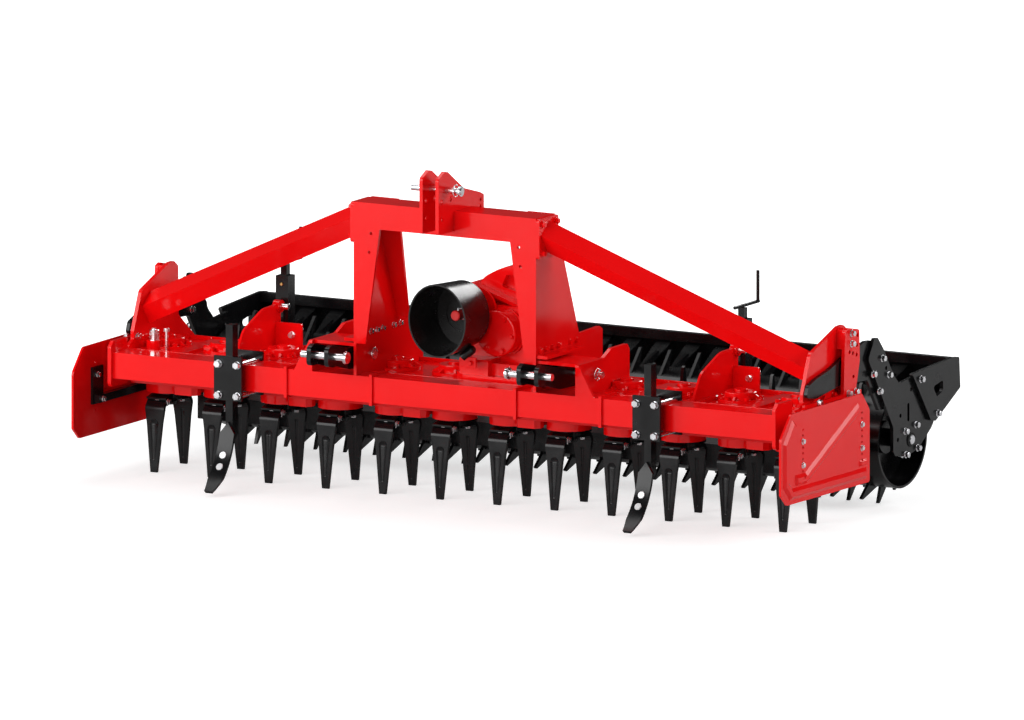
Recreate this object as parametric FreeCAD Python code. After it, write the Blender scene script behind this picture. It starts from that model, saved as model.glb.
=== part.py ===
import FreeCAD, Part
import math
import os

# Power harrow, three metres wide, with a toothed packer roller.
# Millimetres. +X is the driver's left, -Y is the direction of travel, +Z is up.
# Pieces are drawn from the row of rotor axes (y = 0) with the tine tips at z = 0,
# and moved back by ROW_Y on export, so that the origin is the centre of the footprint.
V = FreeCAD.Vector

# ---------------------------------------------------------------- driving dimensions
ROTORS = 12
PITCH = 250.0                       # distance between rotor axes
ROW_Y = -243.0                      # rotor row, from the centre of the footprint
ROTOR_X = [PITCH * (i - (ROTORS - 1) / 2) for i in range(ROTORS)]

TROUGH_HALF = 1455.0                # gear trough: half length, floor and top
TROUGH_FLOOR = 345.0
TROUGH_TOP = 460.0
COVER_TOP = 470.0

BEAM_HALF = 1445.5                  # front beam
BEAM_Y = (-305.0, -195.0)
BEAM_Z = (384.0, 484.0)
BEAM_WALL = 8.0
PLATE = 15.0                        # the usual plate thickness

TOWER_HALF = 398.5                  # headstock
TOWER_Y = -297.0
TOWER_TOP = 1152.0

PTO_Z = 733.0                       # input shaft axis
PTO_RADIUS = 17.45                  # 1 3/8 inch six-spline stub
PTO_NECK = 22.0                     # the stub's bearing, inside the nose
RUN_FIT = 0.1                       # radial play of a shaft or pin in its hole

HINGE_Y, HINGE_Z = -78.0, 548.0     # roller arm hinge
ROLLER_Y, ROLLER_Z = 639.0, 257.1   # roller axis
DRUM_RADIUS = 190.0
TOOTH_RADIUS = 257.0
DRUM_HALF = 1468.0
RECESS = 90.0                       # the end discs sit this far inside the drum
RINGS, TEETH = 22, 12
RING_STEP = 2 * 1360.0 / (RINGS - 1)
RING_X = [-1360 + RING_STEP * i for i in range(RINGS)]


# ---------------------------------------------------------------- drawing helpers
def outline(points, radii=None):
    """Closed flat wire through 3-D points, with the corners rounded by radii."""
    count = len(points)
    radii = radii or [0] * count
    edges = []
    ends = []
    for i in range(count):
        corner = points[i]
        before = (points[i - 1] - corner)
        after = (points[(i + 1) % count] - corner)
        if radii[i] <= 0:
            ends.append((corner, corner, None))
            continue
        before.normalize()
        after.normalize()
        half = before.getAngle(after) / 2
        reach = radii[i] / math.tan(half)
        bisector = before + after
        bisector.normalize()
        middle = corner + bisector * (radii[i] / math.sin(half) - radii[i])
        ends.append((corner + before * reach, corner + after * reach, middle))
    for i in range(count):
        start, end, middle = ends[i]
        if middle is not None:
            edges.append(Part.Arc(start, middle, end).toShape())
        following = ends[(i + 1) % count][0]
        if (following - end).Length > 1e-4:
            edges.append(Part.LineSegment(end, following).toShape())
    return Part.Wire(edges)


def prism(points, direction, radii=None):
    return Part.Face(outline(points, radii)).extrude(direction)


def plate_x(profile, x0, x1, radii=None):
    """Plate across X from (y, z) points."""
    return prism([V(x0, y, z) for y, z in profile], V(x1 - x0, 0, 0), radii)


def plate_y(profile, y0, y1, radii=None):
    """Plate across Y from (x, z) points."""
    return prism([V(x, y0, z) for x, z in profile], V(0, y1 - y0, 0), radii)


def plate_z(profile, z0, z1, radii=None):
    """Plate across Z from (x, y) points."""
    return prism([V(x, y, z0) for x, y in profile], V(0, 0, z1 - z0), radii)


def box(x, y, z):
    return Part.makeBox(x[1] - x[0], y[1] - y[0], z[1] - z[0], V(x[0], y[0], z[0]))


def rod(radius, start, end):
    along = V(*end) - V(*start)
    return Part.makeCylinder(radius, along.Length, V(*start), along)


def ring(outer, inner, start, end):
    return rod(outer, start, end).cut(rod(inner, start, end))


def fuse(shapes):
    whole = shapes[0]
    if len(shapes) > 1:
        whole = shapes[0].multiFuse(shapes[1:])
    return whole.removeSplitter()


def drill_x(shape, holes, radius):
    """Holes along X at (y, z)."""
    tools = [rod(radius, (-2000, y, z), (2000, y, z)) for y, z in holes]
    return shape.cut(Part.makeCompound(tools))


def mirror(shape):
    return shape.mirror(V(0, 0, 0), V(1, 0, 0))


def pair(shape):
    """The piece on the left and its mirror image on the right."""
    return [shape, mirror(shape)]


# ---------------------------------------------------------------- frame
def front_beam():
    """Square tube across the front, with four welded stiffening collars."""
    tube = box((-BEAM_HALF, BEAM_HALF), BEAM_Y, BEAM_Z)
    bore_y = (BEAM_Y[0] + BEAM_WALL, BEAM_Y[1] - BEAM_WALL)
    bore_z = (BEAM_Z[0] + BEAM_WALL, BEAM_Z[1] - BEAM_WALL)
    collars = []
    for x in (-688, -315, 315, 688):
        collars.append(box((x - 6, x + 6), (BEAM_Y[0] - 10, BEAM_Y[1]),
                           (BEAM_Z[0] - 10, BEAM_Z[1] + 10)))
    return fuse([tube] + collars).cut(box((-BEAM_HALF, BEAM_HALF), bore_y, bore_z))


def beam_end_plates():
    profile = [(-322, 351), (-195, 351), (-195, 528), (-300, 528), (-322, 506)]
    return pair(plate_x(profile, BEAM_HALF, BEAM_HALF + PLATE, [20, 0, 0, 10, 10]))


def gear_trough():
    """Closed folded trough that holds the row of gears."""
    profile = [(-150, TROUGH_FLOOR), (150, TROUGH_FLOOR), (182, 385), (182, 450),
               (195, 450), (195, TROUGH_TOP), (-195, TROUGH_TOP), (-195, 450),
               (-182, 450), (-182, 385)]
    return [plate_x(profile, -TROUGH_HALF, TROUGH_HALF)]


def trough_cover():
    """Bolted lid: a bearing cap over each rotor, a pressed pad between them, oil filler."""
    pieces = [box((-TROUGH_HALF, TROUGH_HALF), (-195, 195), (TROUGH_TOP, COVER_TOP))]
    for x in ROTOR_X:
        if abs(x) < 700:
            continue                    # under the gearbox and the hitch brackets
        pieces.append(rod(58, (x, 0, COVER_TOP), (x, 0, COVER_TOP + 12)))
        pieces.append(rod(26, (x, 0, COVER_TOP), (x, 0, COVER_TOP + 22)))
    for i in range(ROTORS - 1):
        x = (ROTOR_X[i] + ROTOR_X[i + 1]) / 2
        if abs(x) > 300:
            pieces.append(box((x - 34, x + 34), (-165, 165), (COVER_TOP, COVER_TOP + 10)))
    pieces.append(rod(29, (-1392, -85, COVER_TOP), (-1392, -85, 505)))
    return [fuse(pieces)]


def bearing_housings():
    rings = []
    for x in ROTOR_X:
        body = rod(87, (x, 0, 300), (x, 0, TROUGH_FLOOR))
        flange = rod(98, (x, 0, 336), (x, 0, TROUGH_FLOOR))
        flange = flange.common(box((-TROUGH_HALF, TROUGH_HALF), (-100, 100), (300, TROUGH_FLOOR)))
        bore = rod(30 + RUN_FIT, (x, 0, 300), (x, 0, 340))
        rings.append(body.fuse(flange).cut(bore).removeSplitter())
    return rings


def stone_guards():
    guards = []
    for x in (-1250, -750, -250, 250, 750, 1250):
        profile = [(x - 36, -112), (x + 36, -112), (x + 52, -92), (x + 52, 92),
                   (x + 36, 112), (x - 36, 112), (x - 52, 92), (x - 52, -92)]
        guards.append(plate_z(profile, 306, TROUGH_FLOOR))
    # the bearing flanges are let into the guards' sides
    flanges = [rod(98.5, (x, 0, 300), (x, 0, TROUGH_FLOOR)) for x in ROTOR_X]
    return [guard.cut(Part.makeCompound(flanges)) for guard in guards]


# ---------------------------------------------------------------- gearbox
GEARBOX_X = 125.0                   # it drives the first rotor left of the middle


def gearbox_housing():
    """Casting over the driven rotor, to the left of the machine's middle."""
    c = GEARBOX_X
    base = plate_z([(c - 185, -100), (c - 125, -160), (c + 115, -160), (c + 175, -100),
                    (c + 175, 140), (c + 115, 190), (c - 125, 190), (c - 185, 140)], COVER_TOP, 500)
    foot = box((c - 145, c - 20), (-150, 40), (500, 560))
    step = box((c - 20, c + 90), (-120, 40), (500, 545))
    body = plate_y([(c - 150, 500), (c + 150, 500), (c + 150, 760), (c - 150, 760)], -60, 160)
    dome = [(c - 158, 745), (c + 158, 745), (c + 158, 805), (c + 118, 855), (c + 66, 883),
            (c + 20, 902), (c - 20, 902), (c - 66, 883), (c - 118, 855), (c - 158, 805)]
    top = plate_y(dome, 0, 170, [10, 10, 60, 80, 80, 60, 60, 80, 80, 60])
    flange = plate_y([(c - 160, 818), (c + 160, 718), (c + 160, 733), (c - 160, 833)], -48, 160)
    pockets = [plate_y([(c - 46, 822), (c + 34, 802), (c + 34, 868), (c - 24, 868)],
                       -10, 30, [8, 8, 8, 8])]
    rear = rod(112, (c, 160, 700), (c, 196, 700))
    return [fuse([base, foot, step, body, top, flange, rear]).cut(Part.makeCompound(pockets))]


def gearbox_cover():
    """Front cover: the nose that the input shaft turns in and the lower shaft's cap."""
    back = -60
    plates = [rod(95, (x, back - 12, z), (x, back, z)) for x, z in ((0, PTO_Z), (GEARBOX_X, 661))]
    nose = rod(58, (0, -150, PTO_Z), (0, back, PTO_Z))
    collar = rod(88, (0, -155, PTO_Z), (0, -143, PTO_Z))
    cap = rod(88, (GEARBOX_X, -128, 661), (GEARBOX_X, back, 661))
    cap = cap.makeFillet(9, [edge for edge in cap.Edges if abs(edge.CenterOfMass.y + 128) < 0.1])
    bore = rod(PTO_NECK + RUN_FIT, (0, -160, PTO_Z), (0, -62, PTO_Z))
    return [fuse(plates + [nose, collar, cap]).cut(bore)]


def ellipse(half_x, half_z, y):
    curve = Part.Ellipse(V(0, y, PTO_Z + half_z), V(half_x, y, PTO_Z), V(0, y, PTO_Z))
    return Part.Wire([curve.toShape()])


def pto_guard():
    """Open oval cone round the input shaft, bolted to the nose by its back wall."""
    wall = 6
    outer = Part.makeLoft([ellipse(115, 129, -161), ellipse(125.5, 141.5, -357)], True)
    inner = Part.makeLoft([ellipse(115 - wall, 129 - wall, -161),
                           ellipse(125.5 - wall, 141.5 - wall, -357)], True)
    back = Part.Face(ellipse(115, 129, -161)).extrude(V(0, 6, 0))
    lip = ring(73, 67, (0, -167, PTO_Z), (0, -161, PTO_Z))
    shell = outer.cut(inner).fuse([back, lip]).removeSplitter()
    return [shell.cut(rod(24, (0, -170, PTO_Z), (0, -150, PTO_Z)))]


def pto_shaft():
    """Input stub with the thicker neck that runs in the nose; a cap covers its splines."""
    stub = rod(PTO_RADIUS, (0, -212, PTO_Z), (0, -64, PTO_Z))
    neck = rod(PTO_NECK, (0, -155, PTO_Z), (0, -64, PTO_Z))
    return [fuse([stub, neck])]


# ---------------------------------------------------------------- headstock
def headstock_leg():
    """Left leg: a folded channel that widens towards its foot, open to the inside."""
    t = 12
    web = plate_x([(TOWER_Y, 663), (34, 663), (-152, TOWER_TOP), (TOWER_Y, TOWER_TOP)],
                  TOWER_HALF - t, TOWER_HALF)
    front = plate_y([(347, 607), (TOWER_HALF, 607), (TOWER_HALF, TOWER_TOP),
                     (272, TOWER_TOP), (285, 1053)], TOWER_Y, TOWER_Y + t)
    slope = math.atan2(186, TOWER_TOP - 663)
    length = math.hypot(186, TOWER_TOP - 663)
    rear = plate_y([(340, 0), (TOWER_HALF, 0), (TOWER_HALF, length), (282, length)], -t, 0)
    rear.rotate(V(0, 0, 0), V(1, 0, 0), math.degrees(slope))
    rear.translate(V(0, 34, 663))
    rear = rear.common(box((0, 500), (-400, 100), (663, TOWER_TOP)))
    holes = [rod(6, (x, TOWER_Y, z), (x, TOWER_Y + t, z)) for x, z in ((323, 1035), (331, 962))]
    return fuse([web, front, rear]).cut(Part.makeCompound(holes))


def headstock_crossbeam():
    tube = box((-386, 386), (TOWER_Y + 12, -167), (1053, TOWER_TOP))
    front = plate_y([(-285, 1053), (285, 1053), (272, TOWER_TOP), (-272, TOWER_TOP)],
                    TOWER_Y, TOWER_Y + 12)
    bore = box((-386, 386), (TOWER_Y + 20, -175), (1061, TOWER_TOP - 8))
    return [fuse([tube, front]).cut(bore)]


def top_link_bracket():
    """Two ears for the tractor's top link, tied by a web on the cross beam."""
    profile = [(-418, 1075), (TOWER_Y, 1075), (TOWER_Y, TOWER_TOP), (-167, TOWER_TOP),
               (-167, 1112), (-70, 1112), (-70, 1184), (-100, 1197), (-223, 1230),
               (-346, 1309), (-369, 1314), (-418, 1290)]
    ear = plate_x(profile, 28, 42, [8, 0, 0, 0, 0, 8, 10, 20, 40, 14, 12, 16])
    ear = drill_x(ear, [(-357, 1242)], 12.5 + RUN_FIT)
    ear = drill_x(ear, [(-392, 1200), (-325, 1201)], 10)
    ear = drill_x(ear, [(-95, 1167), (-95, 1141), (-390, 1132)], 8)
    web = plate_x([(-285, 1152), (-175, 1152), (-175, 1164), (-285, 1164)], -28, 28)
    return [fuse(pair(ear) + [web])]


def top_link_pin():
    shaft = rod(12.5, (-108, -357, 1242), (112, -357, 1242))
    head = rod(20, (100, -357, 1242), (108, -357, 1242))
    return [fuse([shaft, head])]


BRACE_TOP = (393.0, -233.0, 1085.0)
BRACE_END = (1403.0, -18.0, 637.0)


def brace():
    """Left diagonal brace: a square tube turned on its edge, with its end plate."""
    start, end = V(*BRACE_TOP), V(*BRACE_END)
    along = end - start
    along.normalize()
    start = start - along * 30
    end = end + along * 80
    up = V(0.005, 0.055, 0.040)
    up = up - along * up.dot(along)
    up.normalize()
    side = along.cross(up)
    side.normalize()

    def section(half):
        return [start + up * (a * half) + side * (b * half)
                for a, b in ((1, 1), (1, -1), (-1, -1), (-1, 1))]

    run = end - start
    tube = prism(section(40), run)
    tube = tube.cut(prism(section(34), run))
    keep = box((TOWER_HALF + PLATE, 1455.5), (-400, 400), (300, 1300))
    tube = tube.common(keep)
    plate = plate_x([(TOWER_Y, 994), (-150, 994), (-150, 1150), (TOWER_Y, 1150)],
                    TOWER_HALF, TOWER_HALF + PLATE, [12, 12, 12, 12])
    return fuse([tube, plate])


# ---------------------------------------------------------------- lower links
FORK_X = 459.0
PIN_Y, PIN_Z = -432.0, 573.0


def hitch_bracket():
    """Left hitch bracket: inner and outer side plates, their bridge, ledge and gusset."""
    inner = plate_x([(-297, 484), (-195, 484), (-195, COVER_TOP), (215, COVER_TOP),
                     (215, 655), (190, 668), (34, 663), (-285, 663), (-285, 607), (-297, 607)],
                    386.5, TOWER_HALF, [0, 0, 0, 0, 14, 14, 0, 0, 0, 0])
    outer = plate_x([(-305, 484), (-195, 484), (-195, COVER_TOP), (86, COVER_TOP), (86, 612),
                     (70, 634), (-50, 633), (-113, 604), (-305, 604)],
                    575, 590, [0, 0, 0, 0, 14, 14, 20, 20, 8])
    bridge = box((TOWER_HALF, 575), (-285, -113), (592, 604))
    ledge = box((TOWER_HALF, 445), (-290, -5), (612, 624))
    inner_foot = box((TOWER_HALF, 434), (-195, 150), (COVER_TOP, COVER_TOP + 12))
    outer_foot = box((590, 625), (-195, 70), (COVER_TOP, COVER_TOP + 12))
    gusset = plate_y([(590, 484), (655, 484), (590, 600)], -305, -293)
    solid = fuse([inner, outer, bridge, ledge, inner_foot, outer_foot, gusset])
    return drill_x(solid, [(-185, 553)], 12.5 + RUN_FIT)


def lower_link_forks():
    """Two fork plates on each side, which the lower links' pins pass through."""
    profile = [(-470, 535), (-415, 535), (-300, 505), (-150, 500), (-150, 585), (-300, 588),
               (-440, 618), (-470, 606)]
    forks = []
    for x in (FORK_X - 38.5, FORK_X + 38.5):
        plate = plate_x(profile, x - 9, x + 9, [20, 20, 20, 12, 12, 20, 12, 20])
        plate = drill_x(plate, [(PIN_Y, PIN_Z)], 14 + RUN_FIT)
        forks.append(drill_x(plate, [(-185, 553)], 12.5 + RUN_FIT))
    spacer = ring(24, 12.5 + RUN_FIT, (FORK_X - 29.5, -185, 553), (FORK_X + 29.5, -185, 553))
    return fuse(forks + [spacer])


def lower_link_pins():
    pins = []
    shaft = rod(14, (FORK_X - 112, PIN_Y, PIN_Z), (FORK_X + 88, PIN_Y, PIN_Z))
    head = rod(22, (FORK_X - 112, PIN_Y, PIN_Z), (FORK_X - 104, PIN_Y, PIN_Z))
    pins += pair(fuse([shaft, head]))
    pivot = rod(12.5, (366, -185, 553), (628, -185, 553))
    pivot_head = rod(20, (366, -185, 553), (376, -185, 553))
    pins += pair(fuse([pivot, pivot_head]))
    return pins


# ---------------------------------------------------------------- ends of the machine
WEB_X = (1455.5, 1470.5)
ARM_X = (1476.0, 1490.5)             # the roller arm swings between web and strip
BAR_X = (1496.0, 1510.0)
DEFLECTOR_X = 1543.0


def end_bracket():
    """Left end bracket: the upright web that takes the brace and, with the strip outside
    it, forms the slot in which the roller arm swings."""
    web = plate_x([(-165, 430), (337, 430), (337, 458), (215, 552), (212, 742), (180, 764),
                   (142, 762), (-67, 687), (-94, 622), (-128, 539), (-128, 508), (-165, 490)],
                  WEB_X[0], WEB_X[1], [0, 0, 8, 12, 14, 12, 12, 24, 20, 8, 6, 8])
    strip = plate_x([(-182, 470), (250, 470), (250, 508), (-182, 508)], BAR_X[0], BAR_X[1],
                    [8, 8, 0, 8])
    spacer = box((WEB_X[1], BAR_X[0]), (-165, -125), (470, 490))
    rear_spacer = rod(11, (WEB_X[1], 235, 453), (BAR_X[0] + 14, 235, 453))
    lug = plate_x([(215, 440), (250, 440), (250, 470), (215, 470)], BAR_X[0], BAR_X[1])
    pivot = rod(16, (WEB_X[1], HINGE_Y, HINGE_Z), (ARM_X[1] - 3.3, HINGE_Y, HINGE_Z))
    return fuse([web, strip, spacer, rear_spacer, lug, pivot])


def depth_stop_bar():
    """Left depth bar: a drilled upright outside the roller arm, tied to the web by pins
    and by a plate across the top."""
    bar = plate_x([(115, 508), (207, 508), (238, 622), (235, 742), (150, 759), (127, 750)],
                  BAR_X[0], BAR_X[1], [0, 0, 40, 14, 12, 10])
    holes = [(221, 721), (217, 684), (160, 665), (186, 657), (214, 648), (190, 566)]
    bar = drill_x(bar, holes, 7.5)
    pins = [rod(10, (WEB_X[1], 175, z), (BAR_X[0], 175, z)) for z in (735, 695)]
    tie = box((WEB_X[1], BAR_X[0]), (130, 139), (678, 752))
    return fuse([bar, tie] + pins)


def band(points, half_base, half_top, x0, x1):
    """Pressed rib with sloping flanks that follows (y, z) points, from x0 out to x1."""
    def edge(half, x):
        left, right = [], []
        for i in range(len(points)):
            here = V(0, *points[i])
            before = here - V(0, *points[max(i - 1, 0)])
            after = V(0, *points[min(i + 1, len(points) - 1)]) - here
            along = V(0, 0, 0)
            for step in (before, after):
                if step.Length > 0:
                    along = along + step.normalize()
            along.normalize()
            across = V(0, -along.z, along.y)
            turn = after if after.Length > 0 else before
            reach = half / max(abs(across.dot(V(0, -turn.z, turn.y))) / turn.Length, 0.5)
            end = along * (half * (-1 if i == 0 else 1 if i == len(points) - 1 else 0))
            left.append(here + across * reach + end + V(x, 0, 0))
            right.append(here - across * reach + end + V(x, 0, 0))
        return outline(left + right[::-1])
    return Part.makeLoft([edge(half_base, x0), edge(half_top, x1)], True, True)


def side_deflector():
    """Left soil deflector: pressed plate with ribs and rows of height holes."""
    face = DEFLECTOR_X + 9
    plate = plate_x([(-439, 200), (-391, 157), (240, 157), (240, 437), (182, 506),
                     (-360, 504), (-439, 416)], DEFLECTOR_X, face, [10, 10, 10, 30, 20, 20, 30])
    ribs = [
        band([(-350, 452), (-402, 388), (-402, 236), (-364, 196), (190, 196)], 22, 9, face, face + 9),
        band([(140, 446), (-250, 244), (-312, 244)], 21, 9, face, face + 9),
        band([(172, 238), (202, 238)], 12, 6, face, face + 7),
    ]
    holes = [(y, 250 + 22.8 * i) for y in (-271, 181) for i in range(9)]
    return drill_x(fuse([plate] + ribs), holes, 5)


def deflector_arms():
    """Black bracket behind each deflector: two plates, a bar between them, an arm to the web."""
    plate_in, plate_out = DEFLECTOR_X - 10, DEFLECTOR_X
    left = fuse([box((plate_in, plate_out), (-306, -226), (275, 418)),
                 box((plate_in, plate_out), (145, 215), (275, 470)),
                 box((plate_in - 24, plate_in), (-300, 210), (282, 312)),
                 box((WEB_X[1], plate_in), (160, 180), (400, 470))])
    return pair(left)


# ---------------------------------------------------------------- track eradicators
TRACK_X = 915.0


def eradicator_clamp():
    """Left clamp: a plate in front of the shank and two straps behind the beam."""
    x0, x1 = TRACK_X - 60, TRACK_X + 60
    back = BEAM_Y[1]
    return [box((x0, x1), (-358, -346), (350, 520)),
            box((x0, x1), (back, back + 10), (352, 382)),
            box((x0, x1), (back, back + 10), (484, 520))]


def eradicator_shank():
    front, back = -346, BEAM_Y[0]
    return plate_x([(front, 215), (front + 16, 196), (back, 215), (back, 640), (front, 640)],
                   TRACK_X - 15, TRACK_X + 15)


def eradicator_blades():
    """Curved strip with a pointed top and a toe that points forward."""
    back = [V(TRACK_X, -346.6, 268), V(TRACK_X, -384, 136), V(TRACK_X, -500, 14)]
    front = [V(TRACK_X, -358.6, 268), V(TRACK_X, -395, 142), V(TRACK_X, -507, 23)]
    wire = Part.Wire([
        Part.Arc(*back).toShape(),
        Part.LineSegment(back[2], front[2]).toShape(),
        Part.Arc(*front[::-1]).toShape(),
        Part.LineSegment(front[0], back[0]).toShape()])
    strip = Part.Face(wire).extrude(V(62, 0, 0))
    strip.translate(V(-31, 0, 0))
    face = plate_y([(TRACK_X - 14, 10), (TRACK_X + 14, 10), (TRACK_X + 31, 60),
                    (TRACK_X + 31, 225), (TRACK_X, 267), (TRACK_X - 31, 225),
                    (TRACK_X - 31, 60)], -520, -300)
    return pair(strip.common(face))


# ---------------------------------------------------------------- levelling bar
BAR_POST_X = 1000.0


def levelling_bar():
    """Bar that smooths the soil behind the tines, with its two hangers."""
    bar = plate_x([(262, 150), (274, 150), (274, 235), (300, 262), (290, 270), (262, 240)],
                  -1400, 1400)
    return [bar]


def levelling_posts():
    """Square telescoping posts with a screw crank on top."""
    posts = []
    for x in (-BAR_POST_X, BAR_POST_X):
        sleeve = box((x - 27, x + 27), (207, 261), (430, 741))
        sleeve = sleeve.cut(box((x - 13, x + 13), (221, 247), (420, 750)))
        inner = box((x - 13, x + 13), (221, 247), (240, 783))
        screw = rod(7, (x, 234, 783), (x, 234, 796))
        arm = rod(6.5, (x, 172, 790), (x, 357, 790))
        handle = rod(6.5, (x, 351, 790), (x, 351, 909))
        bracket = box((x - 30, x + 30), (195, 207), (440, 480))
        foot = box((x - 20, x + 20), (215, 262), (225, 245))
        posts.append(fuse([sleeve, inner, screw, arm, handle, bracket, foot]))
    return posts


def sector_brackets():
    """Quadrant plates on the trough beside the posts, each with a cross plate and a boss."""
    sectors = []
    for x in (-BAR_POST_X, BAR_POST_X):
        arc = [(-150, 480), (190, 480), (190, 640), (60, 636), (-90, 575)]
        plate = plate_x(arc, x - 5, x + 5, [0, 0, 14, 120, 60])
        cross = plate_y([(x - 68, 482), (x + 119, 482), (x + 119, 573), (x - 68, 573)], 150, 160,
                        [0, 0, 8, 8])
        boss = rod(24, (x - 14, 180, 629), (x + 14, 180, 629))
        sectors.append(fuse([plate, cross, boss]))
    return sectors


# ---------------------------------------------------------------- rotors
def rotor_hub(x):
    """Shaft, flange and the carrier bar that the tines bolt to."""
    shaft = rod(30, (x, 0, 262), (x, 0, 335))
    flange = rod(60, (x, 0, 278), (x, 0, 295))
    carrier = plate_x([(-100, 278), (100, 278), (100, 285), (62, 294), (-62, 294), (-100, 285)],
                      x - 42, x + 42)
    nut = Part.makeCone(34, 28, 14, V(x, 0, 262), V(0, 0, -1))
    return [fuse([shaft, flange, carrier, nut])]


def groove(x, low, high, side, widths, depths):
    """Tapering round-bottomed groove along a blade's face, with a round run-out at each end."""
    radii = [(w * w + d * d) / (2 * d) for w, d in zip(widths, depths)]
    ends = [V(x, point[0] + side * (r - d), point[1]) for point, r, d in zip((low, high), radii, depths)]
    line = ends[1] - ends[0]
    run_outs = [Part.makeSphere(r, end) for r, end in zip(radii, ends)]
    return fuse([Part.makeCone(radii[0], radii[1], line.Length, ends[0], line)] + run_outs)


def tine(x):
    """Knife tine: a tongue under the carrier, a bend and a tapering grooved blade."""
    profile = [(-38, 278), (-38, 262), (-84, 262), (-98, 247), (-106, 0), (-120, 0),
               (-112, 250), (-92, 278)]
    side = plate_x(profile, x - 41, x + 41, [0, 0, 6, 14, 3, 3, 26, 20])
    face = plate_y([(x - 13.5, 0), (x + 13.5, 0), (x + 33, 190), (x + 41, 240), (x + 41, 280),
                    (x - 41, 280), (x - 41, 240), (x - 33, 190)], -130, 0)
    blade = side.common(face)
    outer = groove(x, (-118.4, 50), (-114.0, 187), -1, (6, 18), (2.4, 7))
    inner = groove(x, (-105.1, 28), (-99.4, 205), 1, (4, 10), (1.5, 3))
    return blade.cut(outer).cut(inner)


def tines(x):
    front = tine(x)
    rear = front.copy()
    rear.rotate(V(x, 0, 0), V(0, 0, 1), 180)
    return [front, rear]


# ---------------------------------------------------------------- roller and its frame
SIDE_X = (1490.5, 1504.5)
AXLE_RADIUS = 18.5


def roller_arm():
    """Left roller arm, from its socket on the end bracket's pivot to the side plate."""
    profile = [(-136, 528), (-60, 516), (125, 541), (330, 530), (420, 400), (470, 400), (470, 560),
               (363, 678), (317, 682), (140, 642), (41, 612), (-60, 592), (-118, 572)]
    arm = plate_x(profile, ARM_X[0], ARM_X[1],
                  [14, 20, 60, 20, 10, 10, 30, 10, 30, 60, 60, 20, 16])
    socket = rod(16 + RUN_FIT, (ARM_X[0], HINGE_Y, HINGE_Z), (ARM_X[1] - 3, HINGE_Y, HINGE_Z))
    return arm.cut(socket)


def roller_side_plate():
    """Left side plate: carries the roller bearing and the scraper beam."""
    profile = [(362, 688), (386, 686), (428, 640), (505, 528), (550, 486), (658, 497),
               (689, 488), (819, 306), (796, 280), (696, 214), (604, 196), (520, 210),
               (505, 228), (505, 322), (428, 440), (313, 612)]
    plate = plate_x(profile, SIDE_X[0], SIDE_X[1],
                    [8, 8, 12, 20, 16, 16, 12, 14, 12, 14, 12, 14, 10, 40, 20, 20])
    holes = [(450, 560), (560, 360), (640, 450), (690, 420), (540, 270)]
    plate = drill_x(plate, holes, 8)
    slot = plate_x([(612, 330), (628, 330), (628, 400), (612, 400)],
                   SIDE_X[0], SIDE_X[1], [7, 7, 7, 7])
    axle_hole = rod(AXLE_RADIUS + RUN_FIT, (0, ROLLER_Y, ROLLER_Z), (2000, ROLLER_Y, ROLLER_Z))
    return plate.cut(slot).cut(axle_hole)


END_X = (SIDE_X[1], SIDE_X[1] + 15)         # scraper beam's end plate


def scraper_end_plate():
    """Left end plate of the scraper beam, bolted to the outside of the side plate."""
    end = plate_x([(625, 512), (940, 531), (985, 526), (993, 408), (803, 306), (768, 313)],
                  END_X[0], END_X[1], [6, 10, 8, 8, 14, 12])
    window = plate_x([(783, 440), (860, 456), (860, 415), (814, 397)],
                     END_X[0], END_X[1], [10, 10, 10, 10])
    return end.cut(window)


def scraper_beam():
    """Folded channel across the back, open to the front, that the scrapers are fixed in."""
    return [plate_x([(930, 493), (930, 529), (983, 524), (991, 408), (944, 380), (940, 386),
                     (984, 412), (976, 517), (937, 521), (937, 493)], -END_X[0], END_X[0])]


def scrapers():
    """Tapering blades between the tooth rings, fixed in the beam by their upper ends."""
    blades = []
    for i in range(RINGS + 1):
        x = RING_X[0] + RING_STEP * (i - 0.5)
        side = plate_x([(762, 413), (767, 407), (975, 497), (974.5, 506)], x - 31, x + 31)
        plan = plate_z([(x - 12, 755), (x + 12, 755), (x + 31, 900), (x + 31, 980),
                        (x - 31, 980), (x - 31, 900)], 380, 540)
        blades.append(side.common(plan))
    return blades


def hooked_tooth():
    """One tooth pointing down: a steep and a gentle flank that both lean one way."""
    root = DRUM_RADIUS - 6
    height = TOOTH_RADIUS - root
    steep_foot = height * math.tan(math.radians(19)) - 5
    gentle_foot = height * math.tan(math.radians(48)) + 6
    return plate_x([(-5, -TOOTH_RADIUS), (6, -TOOTH_RADIUS), (gentle_foot, -root + 16),
                    (steep_foot, -root)], -6, 6)


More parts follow.
